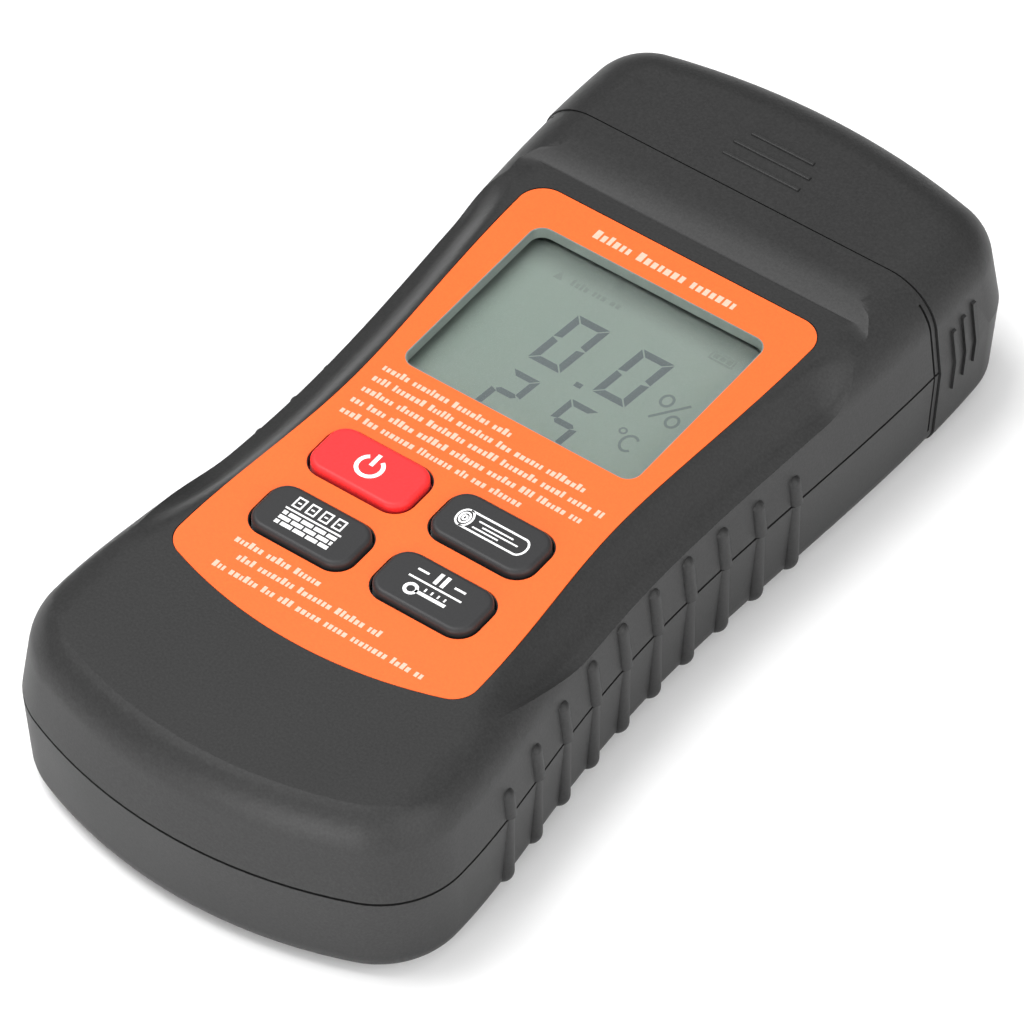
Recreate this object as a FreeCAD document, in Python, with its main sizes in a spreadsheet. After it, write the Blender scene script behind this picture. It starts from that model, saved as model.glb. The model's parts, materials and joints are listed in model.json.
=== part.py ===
"""Two-pin moisture meter, lying on its rear face.

X runs across the meter, +Y towards the pins and their cap, +Z out of the display side.
The origin is the middle of the footprint on the rear face. All sizes are millimetres.
"""
import FreeCAD
import Part

import math
import os
import re

import Sketcher
from FreeCAD import Placement, Rotation, Vector

# ---------------------------------------------------------------- driving sizes
SIZES = {
    # case outline at the parting plane: half width and place along Y of each station
    "tail_end": -76.2, "tail_bow": 70.0, "head_end": 77.1, "head_bow": 105.0,
    "tail_half": 34.2, "hip_half": 34.8, "hip_y": -58.0, "thigh_half": 32.4, "thigh_y": -33.0,
    "waist_half": 30.8, "waist_y": -9.4, "shoulder_half": 32.2, "shoulder_y": 21.0,
    "neck_half": 33.9, "neck_y": 48.0, "head_half": 33.2, "tail_corner": 13.2, "head_corner": 9.5,
    # heights
    "parting": 15.5, "deck_top": 29.6, "crown_top": 30.6, "wall": 2.2, "deck_under": 27.7,
    "side_ceiling": 20.8, "cavity_inset": 0.4, "crown_inset": 1.8, "base_inset": 0.9,
    "crown_round": 8.0, "base_round": 4.4,
    "line_wide": 0.4, "line_deep": 0.6,
    # cove along each side of the deck
    "ridge_half": 23.9, "ridge_bend_head": 0.00185, "ridge_bend_tail": 0.0030, "cove_drop": 4.3,
    "cove_roll": 1.6, "cove_run": 5.6, "ledge_slope": 0.27, "cove_head_full": 30.0,
    "cove_tail_full": -26.0, "cove_tail_end": -52.0, "cove_tail_skew": 1.9, "cove_tail_x": 29.0,
    "deck_roll": 0.05, "deck_roll_x": 26.5,
    # raised band that leads up to the collar, collar and cap seam
    "band_foot": 42.7, "band_head": 45.8, "cap_proud": 0.3, "cap_seam": 52.8,
    "seam_gap": 0.2, "rim_wide": 0.75, "groove_wide": 0.4, "groove_deep": 0.5,
    # raised bars on the top of the cap and upright bars on its sides
    "mark_y": 58.1, "mark_pitch": 2.65, "mark_half": 6.4, "mark_last_half": 5.2, "mark_wide": 0.7,
    "mark_proud": 0.3, "mark_sunk": 0.6, "mark_edge": 0.2,
    "grip_y": 56.4, "grip_pitch": 2.55, "grip_low": 9.6, "grip_high": 21.4,
    "grip_climb": 0.6, "grip_proud": 0.45, "grip_sunk": 1.0, "grip_wide": 0.8,
    # grip ribs: round bars half sunk in the sides
    "rib_first": 21.3, "rib_pitch": 7.57, "rib_radius": 1.15, "rib_proud": 0.85,
    "rib_top_mid": 22.4, "rib_top_fall": 3.0, "rib_turn": 1.7, "rib_swing": 80.0,
    # label let into the deck
    "label_deep": 0.3, "label_thick": 0.25, "label_gap": 0.12, "label_tail": -49.1, "label_tail_bow": 64.5,
    "label_head": 39.1, "label_waist": 22.5, "label_low": 24.65, "label_low_y": -38.6,
    "label_high": 24.6, "label_high_y": 34.5, "label_mid": 23.45, "label_mid_y": 12.7,
    "label_round": 4.0,
    # display
    "window_half": 19.5, "window_low": 0.4, "window_high": 32.6, "window_round": 2.2,
    "lens_half": 21.8, "lens_low": -2.4, "lens_high": 35.4, "lens_thick": 0.8,
    "glass_half": 20.9, "glass_low": -1.6, "glass_high": 34.6, "glass_top": 26.8, "glass_thick": 2.2,
    "frame_wall": 1.0, "frame_gap": 0.1, "strip_wide": 2.0, "reflector_thick": 1.1,
    # keys
    "key_long": 16.3, "key_wide": 8.9, "key_round": 2.8, "key_gap": 0.35, "key_x": 10.1,
    "key_row_high": -18.5, "key_row_low": -31.5, "key_top": 30.6, "key_crown": 0.7,
    "flange_lip": 0.95, "flange_low": 25.6, "flange_high": 27.4, "skirt_wall": 0.6,
    "mat_thick": 1.0, "mat_half": 21.2, "mat_low": -39.5, "mat_high": -10.5, "pill_radius": 2.6,
    "pill_thick": 1.5,
    # circuit board
    "board_top": 23.0, "board_thick": 1.6, "board_half": 21.6, "board_low": -46.5, "board_high": 46.0,
    "chip_half": 5.0, "chip_low": 12.0, "chip_high": 22.0, "chip_thick": 1.4,
    "can_left": 9.0, "can_right": 20.0, "can_low": 22.0, "can_high": 26.6, "can_thick": 3.4, "can_round": 2.2,
    "capacitor_x": -13.0, "capacitor_y": 28.0, "capacitor_radius": 3.1, "capacitor_tall": 5.8,
    "buzzer_x": 12.0, "buzzer_y": 2.0, "buzzer_radius": 6.0, "buzzer_tall": 4.4,
    "bead_x": 18.0, "bead_y": 33.0, "bead_radius": 1.3, "bead_drop": 6.0, "bead_tall": 4.0,
    "leg_radius": 0.4, "leg_tall": 2.5,
    "passive_x": -18.0, "passive_y": -6.0, "passive_pitch_x": 3.4, "passive_pitch_y": 4.6,
    "passive_long": 2.0, "passive_wide": 1.25, "passive_thick": 0.6,
    "post_x": 18.6, "post_y": 42.6, "post_radius": 2.3, "board_screw_radius": 0.9, "board_head_tall": 1.3,
    # cavities inside the shells
    "bay_half": 22.3, "bay_low": -57.0, "bay_high": 47.0, "nose_half": 27.0, "nose_low": 6.0,
    "nose_high": 25.0, "nose_end": 58.0,
    # neck that the cap fits over, and the inside of the cap
    "neck_reach": 60.0, "plug_half": 30.0, "plug_low": 2.7, "plug_high": 28.2, "plug_round": 6.0,
    "cap_clear": 0.3, "cap_wall": 1.9,
    # probe block and pins
    "block_half": 17.4, "block_low": 9.8, "block_high": 21.2, "block_face": 61.2, "block_back": 50.5,
    "block_flange": 2.4, "pin_x": 12.7, "pin_z": 15.5, "pin_radius": 0.85, "pin_tip": 71.4,
    "pin_point": 3.2, "socket_radius": 2.6, "socket_front": 63.4, "socket_back": 48.5,
    "collet_radius": 3.4,
    # battery
    "cell_half": 13.2, "cell_low": -66.4, "cell_high": -20.0, "cell_base": 3.3, "cell_thick": 17.3,
    "cell_round": 2.0, "cell_wall_gap": 1.2, "cell_wall_thick": 1.4, "cell_wall_foot": 1.6,
    "cell_wall_top": 19.0, "notch_half": 7.0, "notch_low": 8.0,
    "stud_offset": 6.35, "plus_radius": 2.9, "minus_radius": 3.9, "stud_reach": 2.2,
    "snap_half": 12.4, "snap_low": -17.9, "snap_high": -14.9,
    # battery door
    "door_half": 15.7, "door_low": -66.9, "door_high": -13.0, "door_thick": 1.2, "door_gap": 0.2,
    "door_step": 1.6, "pad_thick": 0.9, "tab_half": 2.6, "tab_x": 8.0,
    "tab_root": 2.4, "tab_reach": 1.2, "tab_gap": 0.15, "tab_thick": 1.25,
    # screws
    "screw_x": 24.6, "screw_tail_y": -60.5, "screw_head_y": 40.5, "boss_radius": 4.3, "pillar_radius": 3.1,
    "screw_radius": 1.25, "screw_head_radius": 2.7, "screw_head_low": 2.6, "screw_head_high": 4.4,
    "screw_tip": 20.4,
    # wires
    "wire_radius": 0.55,
}

doc = FreeCAD.newDocument("moisture_meter")
sheet = doc.addObject("Spreadsheet::Sheet", "Sizes")
for row, (alias, amount) in enumerate(SIZES.items(), start=1):
    sheet.set(f"A{row}", alias)
    sheet.set(f"B{row}", str(amount))
    sheet.setAlias(f"B{row}", alias)
doc.recompute()

sub_parts = []


def size(alias):
    """Number that the sheet holds under an alias."""
    return float(sheet.get(alias))


def bind(thing, target, formula):
    """Tie a property to a formula of sheet aliases."""
    words = re.sub(r"[a-z][a-z0-9_]*", lambda hit: "Sizes." + hit.group(0), str(formula))
    thing.setExpression(target, words)


def keep(thing, label):
    """Name a finished sub-part, which is then written out under that name."""
    thing.Label = label
    sub_parts.append(thing)
    return thing


# ---------------------------------------------------------------- bound solids
def box(name, across, along, height):
    """Part box between two corners, each given as a pair of formulas."""
    block = doc.addObject("Part::Box", name)
    for axis, edge, (low, high) in zip("xyz", ("Length", "Width", "Height"), (across, along, height)):
        bind(block, edge, f"({high}) - ({low})")
        bind(block, f"Placement.Base.{axis}", low)
    return block


def rod(name, radius, start, length, axis="z"):
    """Part cylinder from a start point, given as three formulas, along +Z or +Y."""
    bar = doc.addObject("Part::Cylinder", name)
    if axis == "y":
        bar.Placement = Placement(Vector(), Rotation(Vector(1, 0, 0), -90))
    bind(bar, "Radius", radius)
    bind(bar, "Height", length)
    for letter, formula in zip("xyz", start):
        bind(bar, f"Placement.Base.{letter}", formula)
    return bar


def cone(name, wide, narrow, start, length, axis="z"):
    """Part cone from a wide end to a narrow one, along +Z or +Y."""
    taper = doc.addObject("Part::Cone", name)
    if axis == "y":
        taper.Placement = Placement(Vector(), Rotation(Vector(1, 0, 0), -90))
    bind(taper, "Radius1", wide)
    bind(taper, "Radius2", narrow)
    bind(taper, "Height", length)
    for letter, formula in zip("xyz", start):
        bind(taper, f"Placement.Base.{letter}", formula)
    return taper


def join(name, *pieces):
    """Fuse of several solids."""
    fused = doc.addObject("Part::MultiFuse", name)
    fused.Shapes = list(pieces)
    fused.Refine = True
    return fused


def cut(name, base, *tools):
    """One solid with others taken out of it."""
    carved = doc.addObject("Part::Cut", name)
    carved.Base = base
    carved.Tool = tools[0] if len(tools) == 1 else join(name + "_tools", *tools)
    carved.Refine = True
    return carved


def group(name, *pieces):
    """Several separate solids in one node."""
    bunch = doc.addObject("Part::Compound", name)
    bunch.Links = list(pieces)
    return bunch


def plate(name, across, along, height, corner=None, crown=None):
    """PartDesign body: padded rectangle with rounded uprights and a rounded top rim."""
    body = doc.addObject("PartDesign::Body", name)
    sketch = body.newObject("Sketcher::SketchObject", name + "_sketch")
    plane = next(item for item in body.Origin.OriginFeatures if item.Role == "XY_Plane")
    sketch.AttachmentSupport = [(plane, "")]
    sketch.MapMode = "FlatFace"
    corners = [Vector(0, 0), Vector(10, 0), Vector(10, 10), Vector(0, 10)]
    for index, corner_point in enumerate(corners):
        sketch.addGeometry(Part.LineSegment(corner_point, corners[(index + 1) % 4]))
    for index in range(4):
        sketch.addConstraint(Sketcher.Constraint("Coincident", index, 2, (index + 1) % 4, 1))
    for index, kind in enumerate(("Horizontal", "Vertical", "Horizontal", "Vertical")):
        sketch.addConstraint(Sketcher.Constraint(kind, index))
    sketch.addConstraint(Sketcher.Constraint("Coincident", 0, 1, -1, 1))
    for side, (low, high) in ((0, across), (1, along)):
        number = sketch.addConstraint(Sketcher.Constraint("Distance", side, 10.0))
        bind(sketch, f"Constraints[{number}]", f"({high}) - ({low})")
    pad = body.newObject("PartDesign::Pad", name + "_pad")
    pad.Profile = sketch
    bind(pad, "Length", f"({height[1]}) - ({height[0]})")
    for axis, (low, high) in zip("xyz", (across, along, height)):
        bind(body, f"Placement.Base.{axis}", low)
    if corner:
        soften(body, pad, name + "_corners", corner, upright=True)
    if crown:
        soften(body, body.Tip, name + "_crown", crown, upright=False)
    return body


def soften(body, feature, name, radius, upright):
    """PartDesign fillet of a pad's uprights, or of the rim round its top face."""
    doc.recompute()
    shape = feature.Shape
    top = shape.BoundBox.ZMax
    chosen = []
    for number, edge in enumerate(shape.Edges, start=1):
        bounds = edge.BoundBox
        if upright and bounds.ZLength > 0.9 * shape.BoundBox.ZLength:
            chosen.append(f"Edge{number}")
        if not upright and bounds.ZMin > top - 0.001:
            chosen.append(f"Edge{number}")
    fillet = body.newObject("PartDesign::Fillet", name)
    fillet.Base = (feature, chosen)
    bind(fillet, "Radius", radius)
    body.Tip = fillet
    doc.recompute()


def set_shape(name, shape):
    """Part::Feature for a sculpted solid that sketches and primitives can't make."""
    feature = doc.addObject("Part::Feature", name)
    feature.Shape = shape
    return feature


# ---------------------------------------------------------------- case outline
CASE_SIDE = (("hip_half", "hip_y"), ("thigh_half", "thigh_y"), ("waist_half", "waist_y"),
             ("shoulder_half", "shoulder_y"), ("neck_half", "neck_y"))
LABEL_SIDE = (("label_low", "label_low_y"), ("label_waist", "waist_y"), ("label_mid", "label_mid_y"),
              ("label_high", "label_high_y"))


def bow_rise(bow, half):
    """How far an end arc falls back from its apex at a half width."""
    return bow - math.sqrt(bow * bow - half * half)


def outline(side, tail, head, grow, level):
    """Closed waisted outline; tail and head are (half width, apex, bow radius or None)."""
    tail_half, tail_apex, tail_bow = tail
    head_half, head_apex, head_bow = head
    tail_half += grow
    head_half += grow
    tail_y = tail_apex - grow + bow_rise(tail_bow + grow, tail_half)
    head_y = head_apex + grow - (bow_rise(head_bow + grow, head_half) if head_bow else 0.0)
    stations = [(tail_half, tail_y)]
    stations += [(size(half) + grow, size(along)) for half, along in side]
    stations.append((head_half, head_y))
    right = Part.BSplineCurve()
    right.interpolate([Vector(half, along, level) for half, along in stations])
    left = Part.BSplineCurve()
    left.interpolate([Vector(-half, along, level) for half, along in reversed(stations)])
    tail_arc = Part.Arc(Vector(-tail_half, tail_y, level), Vector(0, tail_apex - grow, level),
                        Vector(tail_half, tail_y, level))
    if head_bow:
        head_edge = Part.Arc(Vector(head_half, head_y, level), Vector(0, head_apex + grow, level),
                             Vector(-head_half, head_y, level))
    else:
        head_edge = Part.LineSegment(Vector(head_half, head_y, level), Vector(-head_half, head_y, level))
    return Part.Wire([edge.toShape() for edge in (tail_arc, right, head_edge, left)])


def case_outline(grow, level):
    tail = (size("tail_half"), size("tail_end"), size("tail_bow"))
    head = (size("head_half"), size("head_end"), size("head_bow"))
    return outline(CASE_SIDE, tail, head, grow, level)


def label_outline(grow, level):
    tail = (size("label_low"), size("label_tail"), size("label_tail_bow"))
    head = (size("label_high"), size("label_head"), None)
    return outline(LABEL_SIDE, tail, head, grow, level)


WIDE = 60.0
LONG = 120.0


def uprights(solid, rise=None):
    """Edges that run mostly up the solid, whose height may be given."""
    rise = rise or solid.BoundBox.ZLength
    return [edge for edge in solid.Edges if edge.BoundBox.ZLength > 0.9 * rise]


def rim(solid, level):
    """Edges that lie wholly at one level."""
    return [edge for edge in solid.Edges
            if abs(edge.BoundBox.ZMin - level) < 0.01 and abs(edge.BoundBox.ZMax - level) < 0.01]


def half_case(grow, level, inset, rounding):
    """Half of the case, from the parting plane to a level, drawn in by the draft and rounded."""
    outlines = [case_outline(grow, size("parting")), case_outline(grow - inset, level)]
    solid = Part.makeLoft(outlines, True, True)
    rise = abs(level - size("parting"))
    for corner, end in (("tail_corner", -1), ("head_corner", 1)):
        edges = [edge for edge in uprights(solid, rise) if edge.BoundBox.Center.y * end > LONG / 4]
        solid = solid.makeFillet(size(corner) + grow, edges)
    if rounding:
        solid = solid.makeFillet(rounding, rim(solid, level))
    return solid


def block(x_low, x_high, y_low, y_high, z_low, z_high):
    """Plain box between two corners."""
    return Part.makeBox(x_high - x_low, y_high - y_low, z_high - z_low, Vector(x_low, y_low, z_low))


def slab(y_low, y_high, z_low=-LONG, z_high=LONG):
    """Box that spans the case across, used to keep one stretch of it."""
    return block(-WIDE, WIDE, y_low, y_high, z_low, z_high)


def rounded_block(half, y_low, y_high, z_low, z_high, rounding):
    """Box with its four long edges, which run along Y, rounded."""
    solid = block(-half, half, y_low, y_high, z_low, z_high)
    long_edges = [edge for edge in solid.Edges if edge.BoundBox.YLength > 1.0]
    return solid.makeFillet(rounding, long_edges)


# ---------------------------------------------------------------- cove surface
def smooth(amount):
    """Smooth step from 0 to 1."""
    amount = min(max(amount, 0.0), 1.0)
    return amount * amount * (3.0 - 2.0 * amount)


def cove_level(x, y):
    """Height of the front surface between the deck and the outer ridge."""
    offset = y - size("waist_y")
    bend = size("ridge_bend_head") if offset > 0 else size("ridge_bend_tail")
    beyond = abs(x) - size("ridge_half") - bend * offset * offset
    to_head = smooth((size("band_foot") - y) / (size("band_foot") - size("cove_head_full")))
    tail_end = size("cove_tail_end") + size("cove_tail_skew") * max(abs(x) - size("cove_tail_x"), 0.0)
    to_tail = smooth((y - tail_end) / (size("cove_tail_full") - size("cove_tail_end")))
    step_down = size("cove_drop") * smooth((beyond + size("cove_roll")) / size("cove_run"))
    past = beyond - size("cove_roll")
    ledge = size("ledge_slope") * 0.5 * (past + math.sqrt(past * past + 1.0)) * smooth(beyond / 6.0 + 0.5)
    outward = max(abs(x) - size("deck_roll_x"), 0.0)
    roll_off = size("deck_roll") * min(outward, 5.0) ** 2 * to_head
    return size("deck_top") - max(to_head * to_tail * (step_down + ledge), roll_off)


def cove_cutter():
    """Solid over the deck and coves, up to the foot of the band."""
    columns = 72
    rows = 30
    reach = 38.0
    start = size("tail_end") - 3.0
    spacing = (size("band_foot") - start) / rows
    grid = []
    for row_index in range(rows + 1):
        along = start + spacing * row_index
        line = []
        for column in range(columns + 1):
            across = reach * (2.0 * column / columns - 1.0)
            line.append(Vector(across, along, cove_level(across, along)))
        grid.append(line)
    surface = Part.BSplineSurface()
    surface.interpolate(grid)
    return surface.toShape().extrude(Vector(0, 0, 14.0))


def band_cutter():
    """Wedge over the sloping band between the deck and the collar."""
    over = size("crown_top") + 4.0
    profile = [(size("band_foot"), size("deck_top")), (size("band_head"), size("crown_top")),
               (size("band_head"), over), (size("band_foot"), over)]
    points = [Vector(-WIDE, along, level) for along, level in profile]
    face = Part.Face(Part.makePolygon(points + points[:1]))
    return face.extrude(Vector(2 * WIDE, 0, 0))


# ---------------------------------------------------------------- grip ribs
def side_reach(along):
    """Half width of the case at the parting plane."""
    curve = case_outline(0.0, 0.0).Edges[1].Curve
    return curve.value(curve.parameter(Vector(size("waist_half"), along, 0))).x


def grip_rib(along, top, side):
    """Front and rear part of one rib, a round bar half sunk in the side and turned in at the base."""
    radius = size("rib_radius")
    parting = size("parting")
    turn = size("base_round")
    reach = side_reach(along) - radius + size("rib_proud")
    draft = size("crown_inset") / (size("crown_top") - parting)
    start = Vector(reach + draft, along, parting - 1.0)
    tip = Vector(reach - draft * (top - parting), along, top)
    along_bar = (tip - start).normalize()
    inward = Vector(0, 1, 0).cross(along_bar) * -radius
    arc_middle = tip + (inward + along_bar * radius) * math.sqrt(0.5)
    profile = [Part.LineSegment(start, start + inward), Part.LineSegment(start + inward, tip + inward),
               Part.Arc(tip + inward, arc_middle, tip + along_bar * radius),
               Part.LineSegment(tip + along_bar * radius, start)]
    front = Part.Face(Part.Wire([edge.toShape() for edge in profile])).revolve(start, along_bar, 360)
    front = front.common(slab(-LONG, LONG, parting, LONG))
    reach -= size("base_inset") / 2
    bend = size("rib_turn")
    swing = math.radians(size("rib_swing"))
    hub = Vector(reach - bend, along, turn)
    corners = [hub + Vector(bend * math.cos(angle), 0, -bend * math.sin(angle))
               for angle in (0, swing / 2, swing)]
    path = Part.Wire([Part.LineSegment(Vector(reach, along, parting), corners[0]).toShape(),
                      Part.Arc(*corners).toShape()])
    circle = Part.makeCircle(radius, Vector(reach, along, parting))
    circle.rotate(Vector(reach, along, parting), Vector(0, 0, 1), 180)
    rear = Part.Wire(path).makePipe(Part.Face(Part.Wire(circle)))
    if side < 0:
        front, rear = [half.mirror(Vector(), Vector(1, 0, 0)) for half in (front, rear)]
    return front, rear


def grip_ribs():
    """Front and rear parts of ten ribs a side; the end ones start lower down than the middle ones."""
    ribs = []
    for number in range(10):
        along = size("rib_first") - number * size("rib_pitch")
        off_middle = abs(number - 4.5) / 4.5
        top = size("rib_top_mid") - size("rib_top_fall") * off_middle ** 2
        for side in (-1, 1):
            ribs.append(grip_rib(along, top, side))
    return ribs


# ---------------------------------------------------------------- shells and cap
def upper_half(grow):
    return half_case(grow, size("crown_top"), size("crown_inset"), size("crown_round"))


def lower_half(grow):
    return half_case(grow, 0.0, size("base_inset"), size("base_round"))


def rim_groove(half_maker, start_level, end_level):
    """Fine groove round the sides of a shell, just behind the cap seam."""
    y_high = size("cap_seam") - size("rim_wide")
    y_low = y_high - size("groove_wide")
    ring = half_maker(1.0).cut(half_maker(-size("groove_deep")))
    return ring.common(slab(y_low, y_high, start_level, end_level))


def parting_line():
    """Fine rebate all round the rim of the front shell, where the two shells meet."""
    over = upper_half(size("rib_radius") + 1.0)
    ring = over.cut(upper_half(-size("line_deep")))
    return ring.common(slab(-LONG, size("cap_seam"), size("parting"), size("parting") + size("line_wide")))


def case_pillars(radius, low, high):
    """Round pillars at the four case screws."""
    pillars = []
    for side in (-1, 1):
        for along in (size("screw_tail_y"), size("screw_head_y")):
            foot = Vector(side * size("screw_x"), along, low)
            pillars.append(Part.makeCylinder(radius, high - low, foot))
    return pillars


def board_posts(radius, low, high):
    """Round posts or holes at the four board screws."""
    posts = []
    for side in (-1, 1):
        for end in (-1, 1):
            foot = Vector(side * size("post_x"), end * size("post_y"), low)
            posts.append(Part.makeCylinder(radius, high - low, foot))
    return posts


def key_centres():
    """Middle of each key, left to right and top row first."""
    return [(side * size("key_x"), size(row_name)) for row_name in ("key_row_high", "key_row_low")
            for side in (-1, 1)]


def rounded_prism(x_mid, y_mid, length, width, corner, low, high):
    """Upright prism on a rounded rectangle."""
    solid = block(x_mid - length / 2, x_mid + length / 2, y_mid - width / 2, y_mid + width / 2, low, high)
    return solid.makeFillet(corner, uprights(solid))


def front_openings(low, high, extra=0.0):
    """Key and window openings through the deck or the label."""
    gap = size("key_gap") + extra
    openings = []
    for x_mid, y_mid in key_centres():
        openings.append(rounded_prism(x_mid, y_mid, size("key_long") + 2 * gap, size("key_wide") + 2 * gap,
                                      size("key_round") + gap, low, high))
    y_mid = (size("window_low") + size("window_high")) / 2
    height = size("window_high") - size("window_low")
    openings.append(rounded_prism(0.0, y_mid, 2 * size("window_half"), height, size("window_round"),
                                  low, high))
    return openings


def neck(z_low, z_high):
    """Hollow neck that fills the mouth of the cap, with a window for the probe block."""
    solid = rounded_block(size("plug_half"), size("cap_seam") - 3.0, size("neck_reach"),
                          size("plug_low"), size("plug_high"), size("plug_round"))
    hollow = block(-size("nose_half"), size("nose_half"), size("bay_high"), size("nose_end"),
                   size("nose_low"), size("nose_high"))
    clear = 0.1
    window = block(-size("block_half") - clear, size("block_half") + clear, size("bay_high"), WIDE * 2,
                   size("block_low") - clear, size("block_high") + clear)
    return solid.cut(hollow).cut(window).common(slab(-LONG, LONG, z_low, z_high))


def body_length(solid):
    """The part of a half case behind the cap seam."""
    return solid.common(slab(-LONG, size("cap_seam")))


def front_shell():
    parting = size("parting")
    solid = body_length(upper_half(0.0)).cut(rim_groove(upper_half, parting, size("deck_top") - 1.5))
    solid = solid.fuse([front for front, rear in grip_ribs()]).cut(parting_line())
    wall = size("wall")
    over = 1.0
    cavity = half_case(-wall, size("side_ceiling"), size("cavity_inset"), None)
    cavity = cavity.common(slab(-LONG, size("bay_high")))
    nose = block(-size("nose_half"), size("nose_half"), size("bay_high") - over, size("cap_seam") + over,
                 parting - over, size("nose_high"))
    bay = block(-size("bay_half"), size("bay_half"), size("bay_low"), size("bay_high"), parting - over,
                size("deck_under"))
    solid = solid.cut([cavity, nose]).cut(bay)
    pillars = case_pillars(size("pillar_radius"), parting, size("side_ceiling") + 0.2)
    posts = board_posts(size("post_radius"), size("board_top"), size("deck_under"))
    solid = solid.fuse(pillars + posts).fuse(neck(parting, LONG))
    tools = front_openings(size("deck_under") - 1.0, LONG)
    tools += case_pillars(size("screw_radius"), parting - 1.0, size("screw_tip"))
    tools += board_posts(size("board_screw_radius"), size("board_top") - 1.0, size("deck_under") - 0.4)
    solid = solid.cut(tools).cut(cove_cutter()).cut(band_cutter())
    recess = Part.Face(label_outline(size("label_gap"), size("deck_top") - size("label_deep")))
    recess = recess.extrude(Vector(0, 0, 2.0))
    return solid.cut(recess.makeFillet(size("label_round"), uprights(recess)))


def rear_shell():
    parting = size("parting")
    solid = body_length(lower_half(0.0)).fuse([rear for front, rear in grip_ribs()])
    solid = solid.cut(rim_groove(lower_half, size("base_round"), parting))
    wall = size("wall")
    loft = half_case(-wall, wall, size("base_inset"), size("base_round") - wall)
    nose = block(-size("nose_half"), size("nose_half"), size("bay_high"), size("cap_seam"),
                 size("nose_low"), parting)
    solid = solid.cut([loft.common(slab(-LONG, size("bay_high"))), nose])
    bosses = case_pillars(size("boss_radius"), 1.0, parting)
    bay_in = size("cell_half") + size("cell_wall_gap")
    bay_out = bay_in + size("cell_wall_thick")
    foot = size("cell_wall_foot")
    top = size("cell_wall_top")
    end_low = size("door_high") + 1.5
    end_high = end_low + size("cell_wall_thick")
    wall_left = block(-bay_out, -bay_in, size("cell_low") - 0.5, end_high, foot, top)
    wall_right = block(bay_in, bay_out, size("cell_low") - 0.5, end_high, foot, top)
    cross = block(-bay_out, bay_out, end_low, end_high, foot, top)
    lead_notch = block(-size("notch_half"), size("notch_half"), end_low - 1.0, end_high + 1.0,
                       size("notch_low"), top + 1.0)
    solid = solid.fuse(bosses + [wall_left, wall_right, cross.cut(lead_notch), neck(-LONG, parting)])
    step = size("door_step")
    outer = block(-size("door_half"), size("door_half"), size("door_low"), size("door_high"), -1.0,
                  size("door_thick") + 0.05)
    inner = block(-size("door_half") + step, size("door_half") - step, size("door_low") + step,
                  size("door_high") - step, 0.0, 2 * wall)
    slot_half = size("tab_half") + 0.4
    slots = [block(side * size("tab_x") - slot_half, side * size("tab_x") + slot_half,
                   size("door_high") - 2 * step, size("door_high") + 0.05, 0.5, 2 * wall)
             for side in (-1, 1)]
    counterbores = case_pillars(size("screw_head_radius") + 0.5, -1.0, size("screw_head_high"))
    shafts = case_pillars(size("screw_radius") + 0.2, 0.0, parting + 1.0)
    return solid.cut([outer, inner] + slots + counterbores + shafts)


def protective_cap():
    solid = upper_half(size("cap_proud")).fuse(lower_half(size("cap_proud")))
    solid = solid.common(slab(size("cap_seam") + size("seam_gap"), LONG)).removeSplitter()
    clear = size("cap_clear")
    half = size("plug_half") + clear
    cavity = rounded_block(half, size("cap_seam") - 1.0, size("head_end"), size("plug_low") - clear,
                           size("plug_high") + clear, size("plug_round") + clear)
    wall = size("cap_wall")
    inside = [half_case(-wall, size("crown_top") - wall, size("crown_inset"), size("crown_round") - wall),
              half_case(-wall, wall, size("base_inset"), size("base_round") - wall)]
    for half_inside in inside:
        solid = solid.cut(cavity.common(half_inside))
    marks = cap_marks() + cap_grips()
    return solid.fuse(marks)


def cap_marks():
    """Three short raised bars on top, the one nearest the end shorter than the others."""
    bars = []
    top = size("crown_top") + size("mark_proud")
    for number, half in enumerate((size("mark_half"), size("mark_half"), size("mark_last_half"))):
        along = size("mark_y") + number * size("mark_pitch")
        bar = block(-half, half, along - size("mark_wide") / 2, along + size("mark_wide") / 2,
                    size("crown_top") - size("mark_sunk"), top)
        bars.append(bar.makeFillet(size("mark_edge"), rim(bar, top)))
    return bars


def cap_grips():
    """Three raised upright bars on each side of the cap, each a little higher than the last."""
    grips = []
    draft = size("crown_inset") / (size("crown_top") - size("parting"))
    proud = size("grip_proud")
    sunk = size("grip_sunk")
    for number in range(3):
        along = size("grip_y") + number * size("grip_pitch")
        reach = side_reach(along) + size("cap_proud")
        low = size("grip_low") + number * size("grip_climb")
        high = size("grip_high") + number * size("grip_climb")
        lean = draft * (high - size("parting"))
        tuck = size("base_inset") * (size("parting") - low) / size("parting")
        profile = [Vector(reach - sunk - tuck, 0, low), Vector(reach + proud - tuck, 0, low + proud),
                   Vector(reach + proud, 0, size("parting")), Vector(reach + proud - lean, 0, high - proud),
                   Vector(reach - sunk - lean, 0, high)]
        strip = Part.Face(Part.makePolygon(profile + profile[:1])).extrude(Vector(0, size("grip_wide"), 0))
        strip.translate(Vector(0, along - size("grip_wide") / 2, 0))
        grips += [strip, strip.mirror(Vector(), Vector(1, 0, 0))]
    return grips


def front_label():
    under = size("deck_top") - size("label_deep")
    sheet_solid = Part.Face(label_outline(0.0, under)).extrude(Vector(0, 0, size("label_thick")))
    sheet_solid = sheet_solid.makeFillet(size("label_round"), uprights(sheet_solid))
    return sheet_solid.cut(front_openings(under - 1.0, under + 2.0, extra=0.15))


keep(set_shape("front_shell", front_shell()), "front_shell")
keep(set_shape("rear_shell", rear_shell()), "rear_shell")
keep(set_shape("protective_cap", protective_cap()), "protective_cap")
keep(set_shape("front_label", front_label()), "front_label")

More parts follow.
